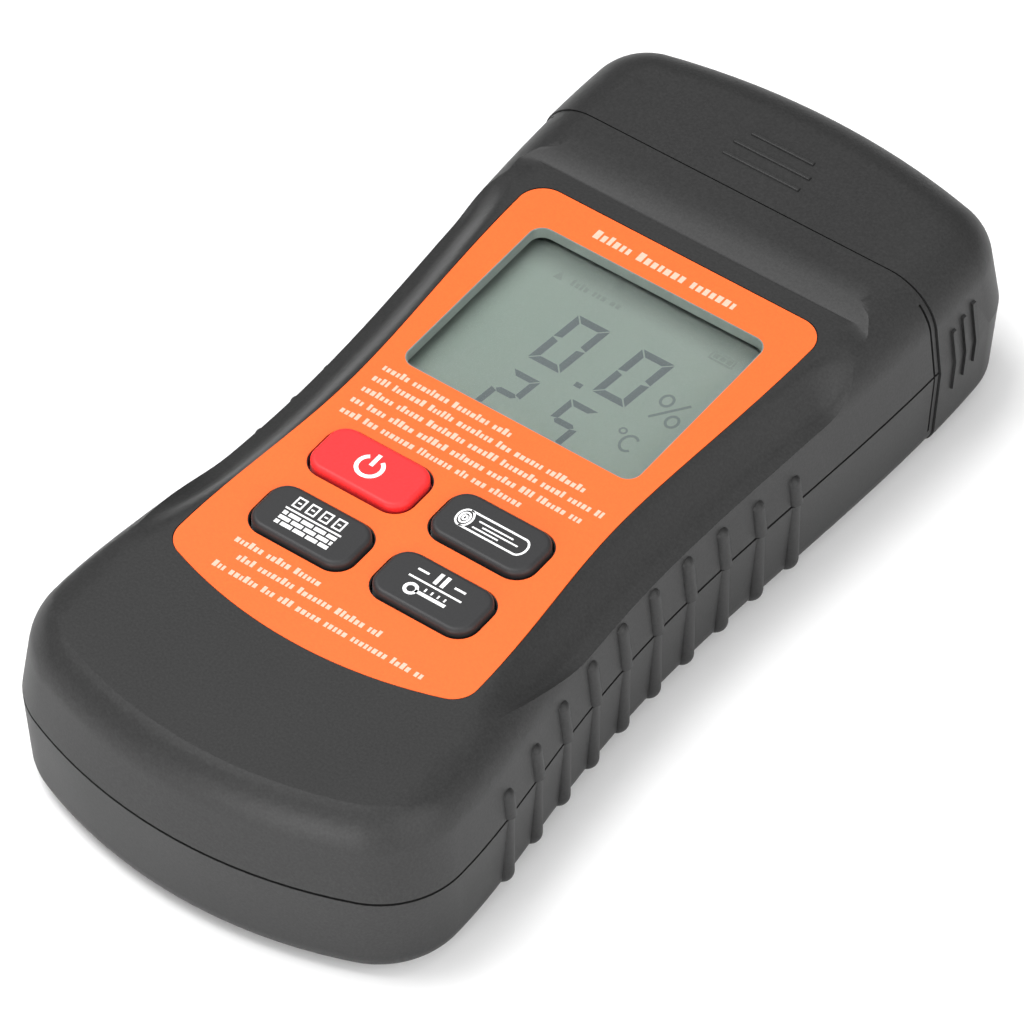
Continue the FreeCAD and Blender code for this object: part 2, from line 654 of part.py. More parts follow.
# ---------------------------------------------------------------- display
lens = plate("lens", ("-lens_half", "lens_half"), ("lens_low", "lens_high"),
             ("deck_under - lens_thick", "deck_under"), corner="window_round")
keep(lens, "lcd_lens")

glass = plate("glass", ("-glass_half", "glass_half"), ("glass_low", "glass_high"),
              ("glass_top - glass_thick", "glass_top"), corner=0.6)
keep(glass, "lcd_glass")

frame_outer = box("frame_outer",
                  ("-glass_half - frame_gap - frame_wall", "glass_half + frame_gap + frame_wall"),
                  ("glass_low - frame_gap - frame_wall", "glass_high + frame_gap + frame_wall"),
                  ("board_top", "glass_top"))
frame_hole = box("frame_hole", ("-glass_half - frame_gap", "glass_half + frame_gap"),
                 ("glass_low - frame_gap", "glass_high + frame_gap"), ("board_top - 1", "glass_top + 1"))
keep(cut("frame", frame_outer, frame_hole), "lcd_frame")

reflector = plate("reflector", ("-glass_half + 1", "glass_half - 1"),
                  ("glass_low + strip_wide + 1", "glass_high - strip_wide - 1"),
                  ("board_top + 0.2", "board_top + 0.2 + reflector_thick"), corner=1.0)
keep(reflector, "lcd_reflector")

strip_across = ("-glass_half + 0.6", "glass_half - 0.6")
strip_height = ("board_top", "glass_top - glass_thick")
strip_low = box("strip_low", strip_across, ("glass_low + 0.1", "glass_low + strip_wide"), strip_height)
strip_high = box("strip_high", strip_across, ("glass_high - strip_wide", "glass_high - 0.1"), strip_height)
keep(group("strips", strip_low, strip_high), "zebra_strips")

# ---------------------------------------------------------------- keys and mat
KEYS = (("power_key", "-key_x", "key_row_high"), ("wood_key", "key_x", "key_row_high"),
        ("masonry_key", "-key_x", "key_row_low"), ("hold_key", "key_x", "key_row_low"))

mat_sheet = plate("mat_sheet", ("-mat_half", "mat_half"), ("mat_low", "mat_high"),
                  ("board_top", "board_top + mat_thick"), corner=2.0)
mat_holes = []
for key, x_mid, y_mid in KEYS:
    half_long = "(key_long / 2 + flange_lip)"
    half_wide = "(key_wide / 2 + flange_lip)"
    stem = plate(key + "_stem", (f"{x_mid} - key_long / 2", f"{x_mid} + key_long / 2"),
                 (f"{y_mid} - key_wide / 2", f"{y_mid} + key_wide / 2"), ("flange_high - 0.5", "key_top"),
                 corner="key_round", crown="key_crown")
    flange = plate(key + "_flange", (f"{x_mid} - {half_long}", f"{x_mid} + {half_long}"),
                   (f"{y_mid} - {half_wide}", f"{y_mid} + {half_wide}"), ("flange_low", "flange_high"),
                   corner="key_round")
    keep(join(key + "_solid", stem, flange), key)

    pill = rod(key + "_disc", "pill_radius", (x_mid, y_mid, "flange_low - pill_thick"), "pill_thick")
    keep(pill, key + "_pill")

    mat_top = "board_top + mat_thick"
    skirt_outer = box(key + "_skirt_outer", (f"{x_mid} - {half_long}", f"{x_mid} + {half_long}"),
                      (f"{y_mid} - {half_wide}", f"{y_mid} + {half_wide}"), (mat_top, "flange_low"))
    skirt_inner = box(key + "_skirt_inner",
                      (f"{x_mid} - {half_long} + skirt_wall", f"{x_mid} + {half_long} - skirt_wall"),
                      (f"{y_mid} - {half_wide} + skirt_wall", f"{y_mid} + {half_wide} - skirt_wall"),
                      ("board_top", "flange_high"))
    keep(cut(key + "_skirt_ring", skirt_outer, skirt_inner), key + "_skirt")

    mat_holes.append(box(key + "_mat_hole",
                         (f"{x_mid} - {half_long} + skirt_wall", f"{x_mid} + {half_long} - skirt_wall"),
                         (f"{y_mid} - {half_wide} + skirt_wall", f"{y_mid} + {half_wide} - skirt_wall"),
                         ("board_top - 1", "flange_high")))
keep(cut("mat", mat_sheet, *mat_holes), "key_mat")

# ---------------------------------------------------------------- circuit board
board_low_face = "board_top - board_thick"
board_blank = plate("board_blank", ("-board_half", "board_half"), ("board_low", "board_high"),
                    (board_low_face, "board_top"), corner=2.0)
board_holes = []
screw_heads = []
for index, (side, end) in enumerate(((-1, -1), (-1, 1), (1, -1), (1, 1))):
    x_mid = f"{side} * post_x"
    y_mid = f"{end} * post_y"
    board_holes.append(rod(f"board_hole_{index}", "board_screw_radius + 0.15",
                           (x_mid, y_mid, f"{board_low_face} - 1"), "board_thick + 2"))
    shank = rod(f"board_shank_{index}", "board_screw_radius", (x_mid, y_mid, f"{board_low_face} - 0.5"),
                "board_thick + 4")
    head = rod(f"board_head_{index}", "board_screw_radius * 2",
               (x_mid, y_mid, f"{board_low_face} - board_head_tall"), "board_head_tall")
    screw_heads.append(join(f"board_screw_{index}", shank, head))
keep(cut("board", board_blank, *board_holes), "main_board")
keep(group("board_screw_set", *screw_heads), "board_screws")

chip = plate("chip", ("-chip_half", "chip_half"), ("chip_low", "chip_high"),
             (f"{board_low_face} - chip_thick", board_low_face), corner=0.4)
keep(chip, "microcontroller")

crystal_can = plate("crystal_can", ("can_left", "can_right"), ("can_low", "can_high"),
                    (f"{board_low_face} - can_thick", board_low_face), corner="can_round")
keep(crystal_can, "crystal")

for name in ("capacitor", "buzzer"):
    can = rod(f"{name}_can", f"{name}_radius",
              (f"{name}_x", f"{name}_y", f"{board_low_face} - {name}_tall"), f"{name}_tall")
    keep(can, name)

bead = rod("bead", "bead_radius", ("bead_x", "bead_y", f"{board_low_face} - bead_drop"), "bead_tall")
bead_leg = rod("bead_leg", "leg_radius", ("bead_x", "bead_y", f"{board_low_face} - leg_tall"), "leg_tall")
keep(join("bead_on_leg", bead, bead_leg), "thermistor")

passives = []
for row_index in range(3):
    for column in range(5):
        x_low = f"passive_x + {column} * passive_pitch_x"
        y_low = f"passive_y + {row_index} * passive_pitch_y"
        passives.append(box(f"passive_{row_index}_{column}", (x_low, f"{x_low} + passive_long"),
                            (y_low, f"{y_low} + passive_wide"),
                            (f"{board_low_face} - passive_thick", board_low_face)))
keep(group("passive_set", *passives), "chip_passives")

# ---------------------------------------------------------------- probe block, sockets and pins
block_front = box("block_front", ("-block_half", "block_half"), ("block_back", "block_face"),
                  ("block_low", "block_high"))
block_flange = box("block_back_flange", ("-block_half - 3", "block_half + 3"),
                   ("nose_end - block_flange", "nose_end"), ("block_low - 2.5", "block_high + 2.5"))
bores = []
for name, side in (("left", -1), ("right", 1)):
    x_mid = f"{side} * pin_x"
    bores.append(rod(f"{name}_bore", "socket_radius", (x_mid, "block_back - 1", "pin_z"),
                     "block_face - block_back + 2", axis="y"))
    barrel = rod(f"{name}_barrel", "socket_radius", (x_mid, "socket_back", "pin_z"),
                 "socket_front - socket_back", axis="y")
    collet = rod(f"{name}_collet", "collet_radius", (x_mid, "block_face", "pin_z"),
                 "socket_front - block_face", axis="y")
    seat = rod(f"{name}_seat", "pin_radius", (x_mid, "block_face - 6", "pin_z"), "20", axis="y")
    socket_blank = join(f"{name}_socket_blank", barrel, collet)
    keep(cut(f"{name}_socket_solid", socket_blank, seat), f"{name}_pin_socket")
    shaft = rod(f"{name}_shaft", "pin_radius", (x_mid, "block_face - 6", "pin_z"),
                "pin_tip - pin_point - block_face + 6", axis="y")
    point = cone(f"{name}_point", "pin_radius", "0.08", (x_mid, "pin_tip - pin_point", "pin_z"), "pin_point",
                 axis="y")
    keep(join(f"{name}_pin_solid", shaft, point), f"{name}_pin")
keep(cut("block", join("block_blank", block_front, block_flange), *bores), "probe_block")

# ---------------------------------------------------------------- battery
cell_top = "cell_base + cell_thick"
cell = plate("cell", ("-cell_half", "cell_half"), ("cell_low", "cell_high"), ("cell_base", cell_top),
             corner="cell_round")
keep(cell, "battery")

cell_mid = "cell_base + cell_thick / 2"
plus = rod("plus_stud", "plus_radius", ("-stud_offset", "cell_high", cell_mid), "stud_reach", axis="y")
minus = rod("minus_stud", "minus_radius", ("stud_offset", "cell_high", cell_mid), "stud_reach", axis="y")
keep(group("studs", plus, minus), "battery_terminals")

snap_plate = plate("snap_plate", ("-snap_half", "snap_half"), ("snap_low + 0.1", "snap_high"),
                   ("cell_base + 2", f"{cell_top} - 2"), corner=None)
keep(snap_plate, "battery_snap")


def wire_path(points):
    """Straight runs joined by tangent arcs, each as large as its shorter run allows."""
    edges = []
    start = points[0]
    for index in range(1, len(points) - 1):
        corner = points[index]
        back = points[index - 1] - corner
        ahead = points[index + 1] - corner
        turn = math.pi - back.getAngle(ahead)
        reach = 0.45 * min(back.Length, ahead.Length)
        radius = reach / math.tan(turn / 2)
        back.normalize()
        ahead.normalize()
        first = corner + back * reach
        last = corner + ahead * reach
        bisector = back + ahead
        bisector.normalize()
        centre = corner + bisector * math.hypot(reach, radius)
        middle = centre - bisector * radius
        edges.append(Part.LineSegment(start, first).toShape())
        edges.append(Part.Arc(first, middle, last).toShape())
        start = last
    edges.append(Part.LineSegment(start, points[-1]).toShape())
    return Part.Wire(edges)


def wire(points):
    """Round wire along straight runs and arcs."""
    path = wire_path(points)
    heading = points[1] - points[0]
    disc = Part.Wire(Part.makeCircle(size("wire_radius"), points[0], heading))
    return path.makePipeShell([disc], True, False)


board_face = size("board_top") - size("board_thick")
for name, side in (("left", -1), ("right", 1)):
    lead = wire([Vector(side * size("pin_x"), size("socket_back"), size("pin_z")),
                 Vector(side * size("pin_x"), 44.5, size("pin_z")),
                 Vector(side * 11.0, 39.5, 17.2), Vector(side * 11.0, 39.5, board_face)])
    keep(set_shape(f"{name}_lead", lead), f"{name}_pin_lead")
for name, side in (("plus", -1), ("minus", 1)):
    lead = wire([Vector(side * 3.0, size("snap_high"), 12.0), Vector(side * 3.0, -10.6, 12.0),
                 Vector(side * 3.8, -7.4, 15.6), Vector(side * 3.8, -7.4, board_face)])
    keep(set_shape(f"{name}_lead", lead), f"battery_{name}_lead")

# ---------------------------------------------------------------- battery door
door_outer = plate("door_outer", ("-door_half + door_gap", "door_half - door_gap"),
                   ("door_low + door_gap", "door_high - door_gap"), ("0", "door_thick"), corner=0.8)
door_inner = box("door_inner", ("-door_half + door_step + door_gap", "door_half - door_step - door_gap"),
                 ("door_low + door_step + door_gap", "door_high - door_step - door_gap"),
                 ("door_thick", "wall"))
tab_start = "door_high - door_step - tab_root"
tab_top = "wall + tab_gap + tab_thick"
door_tabs = []
for index, side in enumerate((-1, 1)):
    x_mid = f"{side} * tab_x"
    door_tabs.append(box(f"tab_root_{index}", (f"{x_mid} - tab_half", f"{x_mid} + tab_half"),
                         (tab_start, "door_high - door_step - door_gap"), ("door_thick", tab_top)))
    door_tabs.append(box(f"tab_tongue_{index}", (f"{x_mid} - tab_half", f"{x_mid} + tab_half"),
                         (tab_start, "door_high + tab_reach"), ("wall + tab_gap", tab_top)))
keep(join("door", door_outer, door_inner, *door_tabs), "battery_door")

pad = plate("pad", ("-cell_half + 2", "cell_half - 2"), ("cell_low + 6", "cell_high - 6"),
            ("wall", "wall + pad_thick"), corner=1.5)
keep(pad, "door_pad")

# ---------------------------------------------------------------- case screws
case_screws = []
for index, (side, along) in enumerate(((-1, "screw_tail_y"), (1, "screw_tail_y"), (-1, "screw_head_y"),
                                       (1, "screw_head_y"))):
    x_mid = f"{side} * screw_x"
    shank = rod(f"case_shank_{index}", "screw_radius", (x_mid, along, "screw_head_high - 0.2"),
                "screw_tip - screw_head_high - 0.2")
    head = rod(f"case_head_{index}", "screw_head_radius", (x_mid, along, "screw_head_low"),
               "screw_head_high - screw_head_low")
    case_screws.append(join(f"case_screw_{index}", shank, head))
keep(group("case_screw_set", *case_screws), "case_screws")

# ---------------------------------------------------------------- check and write
doc.recompute()
for thing in doc.Objects:
    if "Invalid" in thing.State or "Error" in thing.State:
        raise RuntimeError(f"{thing.Label} failed: {thing.State}")
for thing in sub_parts:
    if thing.Shape.isNull() or not thing.Shape.isValid():
        raise RuntimeError(f"{thing.Label} has no valid shape")
    if not thing.Shape.Solids:
        raise RuntimeError(f"{thing.Label} holds no solid")

os.makedirs("parts", exist_ok=True)
for thing in sub_parts:
    thing.Shape.exportStep(os.path.join("parts", thing.Label + ".step"))
    print(f"{thing.Label}: {len(thing.Shape.Solids)} solid(s), {thing.Shape.Volume:.1f} mm3")
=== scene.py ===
"""Looks of the two-pin moisture meter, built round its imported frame. Metres throughout."""
import json
import math
import random

import bmesh
import bpy
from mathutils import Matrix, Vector


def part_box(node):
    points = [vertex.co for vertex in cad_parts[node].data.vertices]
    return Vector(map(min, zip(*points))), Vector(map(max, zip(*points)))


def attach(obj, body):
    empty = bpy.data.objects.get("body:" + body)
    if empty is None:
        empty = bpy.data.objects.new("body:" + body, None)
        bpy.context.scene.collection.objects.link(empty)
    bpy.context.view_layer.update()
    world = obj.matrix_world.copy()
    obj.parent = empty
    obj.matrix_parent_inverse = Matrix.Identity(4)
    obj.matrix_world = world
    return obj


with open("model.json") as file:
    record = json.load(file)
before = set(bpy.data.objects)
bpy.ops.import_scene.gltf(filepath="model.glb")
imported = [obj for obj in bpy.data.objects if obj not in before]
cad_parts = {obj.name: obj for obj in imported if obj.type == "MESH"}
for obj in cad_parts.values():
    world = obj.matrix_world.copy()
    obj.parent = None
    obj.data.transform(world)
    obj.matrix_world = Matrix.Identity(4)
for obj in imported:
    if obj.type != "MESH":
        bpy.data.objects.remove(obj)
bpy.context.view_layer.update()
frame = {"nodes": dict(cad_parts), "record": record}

MM = 0.001
NODES = frame["nodes"]

# ---------------------------------------------------------------- places taken from the frame
LABEL_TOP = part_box("front_label")[1].z
GLASS_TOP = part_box("lcd_glass")[1].z
PRINT_THICK = 0.02 * MM
lens_low, lens_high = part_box("lcd_lens")
LENS_LIP_SIDE = 2.3 * MM   # how far the lens runs on under the deck at its sides and ends
LENS_LIP_END = 2.8 * MM
WINDOW_HALF = lens_high.x - LENS_LIP_SIDE
WINDOW_TAIL = lens_low.y + LENS_LIP_END
WINDOW_HEAD = lens_high.y - LENS_LIP_END
WINDOW_ROUND = 2.2 * MM

# ---------------------------------------------------------------- other named sizes
WELD_REACH = 0.002 * MM
CRISP_ANGLE = math.radians(28.0)
LINER_GAP = 0.02 * MM      # between the window's wall and the liner
LINER_INSIDE = 0.16 * MM   # how far the liner's inner face stands in from the wall
TITLE_HEIGHT = 2.1         # millimetres, as are the sizes of all marks
NOTE_HEIGHT = 1.45
NOTE_LEFT = -20.2
UPPER_NOTES = ((3.2, -1.9), (17.3, -4.25), (20.4, -6.65), (19.3, -9.1), (10.0, -11.5))
LOWER_NOTES = ((-17.2, -2.3, -38.7), (-15.0, 9.1, -41.2), (-17.0, 18.0, -43.9))
DIGIT_SLANT = 0.10
SEGMENT_GAP = 0.16
FLOOR_HALF = 3.0
FLOOR_DROP = 0.02 * MM


def add_object(name, data):
    """New object in the scene that holds some data."""
    made = bpy.data.objects.new(name, data)
    bpy.context.scene.collection.objects.link(made)
    return made


# ---------------------------------------------------------------- shader helpers
def new_material(name):
    """Fresh node material, its tree and its Principled shader."""
    material = bpy.data.materials.new(name)
    material.use_nodes = True
    tree = material.node_tree
    return material, tree, tree.nodes["Principled BSDF"]


def texture(tree, kind, scale, **settings):
    """Procedural texture in object coordinates, which are metres."""
    place = tree.nodes.new("ShaderNodeTexCoord")
    node = tree.nodes.new(kind)
    node.inputs["Scale"].default_value = scale
    for key, amount in settings.items():
        node.inputs[key].default_value = amount
    tree.links.new(place.outputs["Object"], node.inputs["Vector"])
    return node


def ramp(tree, source, stops):
    """Colour ramp fed by a value; stops are (place, colour)."""
    node = tree.nodes.new("ShaderNodeValToRGB")
    elements = node.color_ramp.elements
    while len(elements) < len(stops):
        elements.new(0.5)
    for element, (place, colour) in zip(elements, stops):
        element.position = place
        element.color = (*colour, 1.0)
    tree.links.new(source, node.inputs["Fac"])
    return node.outputs["Color"]


def spread(tree, source, low, high):
    """Value remapped from 0..1 to low..high."""
    node = tree.nodes.new("ShaderNodeMapRange")
    node.inputs["To Min"].default_value = low
    node.inputs["To Max"].default_value = high
    tree.links.new(source, node.inputs["Value"])
    return node.outputs["Result"]


def bump(tree, shader, source, distance, strength):
    """Bump from a height value."""
    node = tree.nodes.new("ShaderNodeBump")
    node.inputs["Strength"].default_value = strength
    node.inputs["Distance"].default_value = distance
    tree.links.new(source, node.inputs["Height"])
    tree.links.new(node.outputs["Normal"], shader.inputs["Normal"])


def shade(colour, factor):
    """Colour made darker or lighter by a factor."""
    return tuple(min(channel * factor, 1.0) for channel in colour)


# ---------------------------------------------------------------- materials
def textured_plastic(name, colour, roughness=0.5, grain=2600.0, depth=0.035 * MM, contrast=0.3, tooth=0.35):
    """Moulded plastic with a fine spark-eroded grain, specks and slightly polished patches."""
    material, tree, shader = new_material(name)
    speck = texture(tree, "ShaderNodeTexNoise", grain, Detail=3.0, Roughness=0.6)
    cloud = texture(tree, "ShaderNodeTexNoise", 55.0, Detail=3.0)
    dark = shade(colour, 1.0 - contrast)
    light = shade(colour, 1.0 + contrast)
    tint = ramp(tree, speck.outputs["Fac"], ((0.30, dark), (0.52, colour), (0.72, light)))
    blend = tree.nodes.new("ShaderNodeMix")
    blend.data_type = "RGBA"
    blend.blend_type = "MULTIPLY"
    blend.inputs["Factor"].default_value = 0.5
    tone = ramp(tree, cloud.outputs["Fac"], ((0.3, (0.82, 0.82, 0.82)), (0.7, (1.0, 1.0, 1.0))))
    tree.links.new(tint, blend.inputs["A"])
    tree.links.new(tone, blend.inputs["B"])
    tree.links.new(blend.outputs["Result"], shader.inputs["Base Color"])
    tree.links.new(spread(tree, cloud.outputs["Fac"], roughness - 0.06, roughness + 0.08),
                   shader.inputs["Roughness"])
    shader.inputs["Specular IOR Level"].default_value = 0.36
    bump(tree, shader, speck.outputs["Fac"], depth, tooth)
    return material


def smooth_plastic(name, colour, roughness=0.35):
    """Plain moulded plastic with a faint flow pattern."""
    material, tree, shader = new_material(name)
    flow = texture(tree, "ShaderNodeTexNoise", 260.0, Detail=4.0)
    tint = ramp(tree, flow.outputs["Fac"], ((0.3, shade(colour, 0.9)), (0.7, shade(colour, 1.08))))
    tree.links.new(tint, shader.inputs["Base Color"])
    tree.links.new(spread(tree, flow.outputs["Fac"], roughness - 0.05, roughness + 0.08),
                   shader.inputs["Roughness"])
    bump(tree, shader, flow.outputs["Fac"], 0.02 * MM, 0.3)
    return material


def label_film(name, colour):
    """Printed film: near even colour, fine halftone grain and a soft satin surface."""
    material, tree, shader = new_material(name)
    grain = texture(tree, "ShaderNodeTexNoise", 3400.0, Detail=2.0)
    wave = texture(tree, "ShaderNodeTexNoise", 38.0, Detail=2.0)
    tint = ramp(tree, grain.outputs["Fac"], ((0.30, shade(colour, 0.93)), (0.70, shade(colour, 1.05))))
    tree.links.new(tint, shader.inputs["Base Color"])
    tree.links.new(spread(tree, wave.outputs["Fac"], 0.38, 0.50), shader.inputs["Roughness"])
    bump(tree, shader, grain.outputs["Fac"], 0.006 * MM, 0.35)
    return material


def soft_rubber(name, colour, roughness=0.55):
    """Silicone rubber with a fine matt tooth."""
    material, tree, shader = new_material(name)
    tooth = texture(tree, "ShaderNodeTexNoise", 3000.0, Detail=2.0)
    cloud = texture(tree, "ShaderNodeTexNoise", 120.0, Detail=2.0)
    tint = ramp(tree, tooth.outputs["Fac"], ((0.3, shade(colour, 0.86)), (0.7, shade(colour, 1.12))))
    tree.links.new(tint, shader.inputs["Base Color"])
    tree.links.new(spread(tree, cloud.outputs["Fac"], roughness - 0.05, roughness + 0.07),
                   shader.inputs["Roughness"])
    shader.inputs["Sheen Weight"].default_value = 0.12
    shader.inputs["Sheen Roughness"].default_value = 0.4
    bump(tree, shader, tooth.outputs["Fac"], 0.012 * MM, 0.35)
    return material


def print_ink(name, colour):
    """Screen-printed ink, slightly uneven."""
    material, tree, shader = new_material(name)
    grain = texture(tree, "ShaderNodeTexNoise", 2800.0, Detail=3.0)
    tint = ramp(tree, grain.outputs["Fac"], ((0.3, shade(colour, 0.90)), (0.6, colour)))
    tree.links.new(tint, shader.inputs["Base Color"])
    tree.links.new(spread(tree, grain.outputs["Fac"], 0.45, 0.6), shader.inputs["Roughness"])
    return material


def painted_edge_shade(tree, source, edge, reach, darkest):
    """Soft painted shade that starts at an edge and fades out over a signed reach, both in metres."""
    node = tree.nodes.new("ShaderNodeMapRange")
    node.interpolation_type = "SMOOTHSTEP"
    node.inputs["From Min"].default_value = min(edge, edge + reach)
    node.inputs["From Max"].default_value = max(edge, edge + reach)
    node.inputs["To Min"].default_value = darkest if reach > 0 else 1.0
    node.inputs["To Max"].default_value = 1.0 if reach > 0 else darkest
    tree.links.new(source, node.inputs["Value"])
    return node.outputs["Result"]


def display_polariser(name, colour):
    """Reflective LCD: grey-green, faintly grained, with painted shade that darkens it towards the window's
    head and left edges.
    """
    material, tree, shader = new_material(name)
    grain = texture(tree, "ShaderNodeTexNoise", 4200.0, Detail=2.0)
    drift = texture(tree, "ShaderNodeTexNoise", 22.0, Detail=1.0)
    fine = ramp(tree, grain.outputs["Fac"], ((0.3, shade(colour, 0.95)), (0.7, shade(colour, 1.04))))
    slow = ramp(tree, drift.outputs["Fac"], ((0.35, (0.93, 0.97, 0.95)), (0.65, (1.0, 1.0, 1.0))))
    blend = tree.nodes.new("ShaderNodeMix")
    blend.data_type = "RGBA"
    blend.blend_type = "MULTIPLY"
    blend.inputs["Factor"].default_value = 1.0
    tree.links.new(fine, blend.inputs["A"])
    tree.links.new(slow, blend.inputs["B"])
    place = tree.nodes.new("ShaderNodeTexCoord")
    part = tree.nodes.new("ShaderNodeSeparateXYZ")
    tree.links.new(place.outputs["Object"], part.inputs["Vector"])
    # painted shade: the LCD's colour is darkened towards the window's head and left edges, standing in for
    # the soft shadow of the window's wall
    head = painted_edge_shade(tree, part.outputs["Y"], WINDOW_HEAD, -5.5 * MM, 0.55)
    left = painted_edge_shade(tree, part.outputs["X"], -WINDOW_HALF, 4.5 * MM, 0.72)
    both = tree.nodes.new("ShaderNodeMath")
    both.operation = "MULTIPLY"
    tree.links.new(head, both.inputs[0])
    tree.links.new(left, both.inputs[1])
    shaded = tree.nodes.new("ShaderNodeVectorMath")
    shaded.operation = "SCALE"
    tree.links.new(blend.outputs["Result"], shaded.inputs[0])
    tree.links.new(both.outputs["Value"], shaded.inputs["Scale"])
    tree.links.new(shaded.outputs["Vector"], shader.inputs["Base Color"])
    tree.links.new(spread(tree, grain.outputs["Fac"], 0.34, 0.44), shader.inputs["Roughness"])
    return material


def clear_acrylic(name):
    """Clear window with faint haze."""
    material, tree, shader = new_material(name)
    haze = texture(tree, "ShaderNodeTexNoise", 300.0, Detail=2.0)
    tree.links.new(spread(tree, haze.outputs["Fac"], 0.02, 0.06), shader.inputs["Roughness"])
    shader.inputs["Base Color"].default_value = (0.97, 0.985, 0.975, 1.0)
    shader.inputs["Transmission Weight"].default_value = 1.0
    shader.inputs["IOR"].default_value = 1.05
    return material


def metal(name, colour, roughness=0.28, turned=900.0):
    """Plated or turned metal with fine tool marks."""
    material, tree, shader = new_material(name)
    marks = texture(tree, "ShaderNodeTexNoise", turned, Detail=4.0, Distortion=0.4)
    tint = ramp(tree, marks.outputs["Fac"], ((0.3, shade(colour, 0.86)), (0.7, shade(colour, 1.06))))
    tree.links.new(tint, shader.inputs["Base Color"])
    shader.inputs["Metallic"].default_value = 1.0
    tree.links.new(spread(tree, marks.outputs["Fac"], roughness - 0.08, roughness + 0.12),
                   shader.inputs["Roughness"])
    bump(tree, shader, marks.outputs["Fac"], 0.01 * MM, 0.3)
    return material


def board_laminate(name):
    """Green solder mask with lighter copper tracks showing through."""
    material, tree, shader = new_material(name)
    tracks = texture(tree, "ShaderNodeTexVoronoi", 420.0)
    tracks.distance = "MANHATTAN"
    tint = ramp(tree, tracks.outputs["Distance"], ((0.42, (0.012, 0.16, 0.055)), (0.50, (0.03, 0.26, 0.09))))
    tree.links.new(tint, shader.inputs["Base Color"])
    tree.links.new(spread(tree, tracks.outputs["Distance"], 0.25, 0.4), shader.inputs["Roughness"])
    bump(tree, shader, tracks.outputs["Distance"], 0.03 * MM, 0.3)
    return material


def open_foam(name, colour):
    """Closed-cell foam with small pores."""
    material, tree, shader = new_material(name)
    pores = texture(tree, "ShaderNodeTexVoronoi", 1500.0)
    tint = ramp(tree, pores.outputs["Distance"], ((0.1, shade(colour, 0.5)), (0.5, colour)))
    tree.links.new(tint, shader.inputs["Base Color"])
    tree.links.new(spread(tree, pores.outputs["Distance"], 0.85, 0.98), shader.inputs["Roughness"])
    bump(tree, shader, pores.outputs["Distance"], 0.15 * MM, 0.6)
    return material


def pale_floor(name):
    """Plain pale studio sweep."""
    material, tree, shader = new_material(name)
    paper = texture(tree, "ShaderNodeTexNoise", 90.0, Detail=3.0)
    tint = ramp(tree, paper.outputs["Fac"], ((0.3, (0.93, 0.93, 0.93)), (0.7, (0.95, 0.95, 0.95))))
    tree.links.new(tint, shader.inputs["Base Color"])
    tree.links.new(spread(tree, paper.outputs["Fac"], 0.75, 0.85), shader.inputs["Roughness"])
    return material


CASE = textured_plastic("case_plastic_look", (0.018, 0.018, 0.018))
RUBBER_BLACK = soft_rubber("key_rubber_black_look", (0.012, 0.012, 0.013))
RUBBER_RED = soft_rubber("key_rubber_red_look", (0.80, 0.014, 0.017))
INNER = smooth_plastic("inner_plastic_look", (0.030, 0.030, 0.032))
STEEL = metal("steel_look", (0.62, 0.62, 0.64))
TIN = metal("tin_can_look", (0.74, 0.74, 0.76), 0.34)
BRASS = metal("brass_look", (0.83, 0.60, 0.25), 0.25, 1400.0)
CHIP = smooth_plastic("chip_plastic_look", (0.022, 0.022, 0.024), 0.5)
WHITE_INK = print_ink("white_ink", (0.92, 0.92, 0.92))
PINK_INK = print_ink("small_print_ink", (0.90, 0.48, 0.36))
SEGMENT_INK = print_ink("segment_ink", (0.095, 0.110, 0.118))
UNIT_INK = print_ink("unit_ink", (0.125, 0.145, 0.145))
FAINT_INK = print_ink("faint_segment_ink", (0.168, 0.195, 0.180))

LOOKS = {
    "case_plastic": CASE,
    "label_film": label_film("label_film_look", (0.88, 0.128, 0.016)),
    "clear_window": clear_acrylic("clear_window_look"),
    "display_glass": display_polariser("display_look", (0.200, 0.232, 0.212)),
    "inner_plastic": INNER,
    "white_plastic": smooth_plastic("white_plastic_look", (0.78, 0.80, 0.76)),
    "contact_rubber": soft_rubber("contact_rubber_look", (0.02, 0.02, 0.02), 0.7),
    "board_laminate": board_laminate("board_look"),
    "key_rubber_black": RUBBER_BLACK,
    "key_rubber_red": RUBBER_RED,
    "steel": STEEL,
    "tin_can": TIN,
    "chip_plastic": CHIP,
    "brass": BRASS,
    "battery_jacket": smooth_plastic("battery_jacket_look", (0.05, 0.05, 0.055), 0.25),
    "wire_red": smooth_plastic("wire_red_look", (0.55, 0.02, 0.015), 0.4),
    "wire_black": smooth_plastic("wire_black_look", (0.02, 0.02, 0.02), 0.4),
    "foam": open_foam("foam_look", (0.05, 0.05, 0.05)),
}


def finish_cad_nodes():
    """Gives every CAD node its material and a smooth surface with crisp edges."""
    for part in frame["record"]["subparts"]:
        node = NODES[part["node"]]
        node.data.materials.clear()
        node.data.materials.append(LOOKS[part["material_slot"]])
        for polygon in node.data.polygons:
            polygon.use_smooth = True
        if "custom_normal" in node.data.attributes:
            node.data.attributes.remove(node.data.attributes["custom_normal"])
        weld = node.modifiers.new("weld", "WELD")
        weld.merge_threshold = WELD_REACH
        split = node.modifiers.new("crisp", "EDGE_SPLIT")
        split.split_angle = CRISP_ANGLE
        weighted = node.modifiers.new("even", "WEIGHTED_NORMAL")
        weighted.keep_sharp = True


